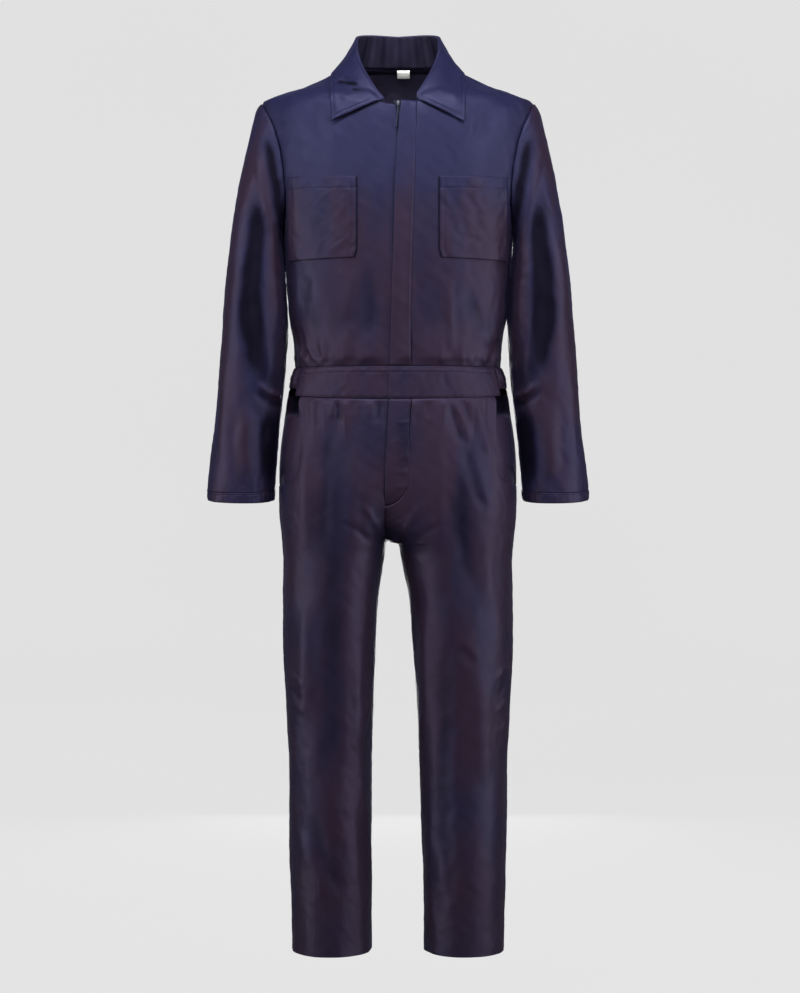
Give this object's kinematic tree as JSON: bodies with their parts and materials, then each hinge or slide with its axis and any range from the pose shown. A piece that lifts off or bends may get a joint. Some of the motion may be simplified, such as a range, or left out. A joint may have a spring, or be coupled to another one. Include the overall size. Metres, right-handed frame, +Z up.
{
  "type": "boiler suit",
  "caption": "Long-sleeved one-piece boiler suit with turned-down collar, half-elastic waist, flap over a front zip, patch chest pockets and slanted hip pockets, hollow as worn.",
  "frame": {"origin": "the point on the body's centre plane level with the highest point of the shoulder seams at the neck, half way between the wearer's front and back", "axes": "+Z up the wearer's body, -Y the way the wearer faces, +X to the wearer's left"},
  "size_m": [0.6594, 0.2638, 1.586],
  "materials": {
    "shell": "satin cotton twill, shot navy and plum",
    "label": "woven satin label, bare",
    "zip_tape": "dark woven tape with metal teeth",
    "zip_metal": "nickel-plated"
  },
  "bodies": {
    "suit": {"back": "shell", "chest_pocket_left": "shell", "chest_pocket_right": "shell", "collar": "shell", "cuff_left": "shell", "cuff_right": "shell", "fly_lower": "shell", "fly_upper": "shell", "front_left": "shell", "front_right": "shell", "leg_back_left": "shell", "leg_back_right": "shell", "leg_front_left": "shell", "leg_front_right": "shell", "neck_label": "label", "pocket_facing_left": "shell", "pocket_facing_right": "shell", "sleeve_left": "shell", "sleeve_right": "shell", "waist_elastic": "shell", "waistband_left": "shell", "waistband_right": "shell", "zip": "zip_tape", "zip_slider": "zip_metal"},
    "pull": {"zip_pull": "zip_metal"}
  },
  "joints": [
    {"name": "pull_swing", "type": "hinge", "parent": "suit", "child": "pull", "pos_m": [0.00014, -0.10958, -0.07564], "axis": [-1, 0, 0], "range_deg": [0, 165]}
  ]
}
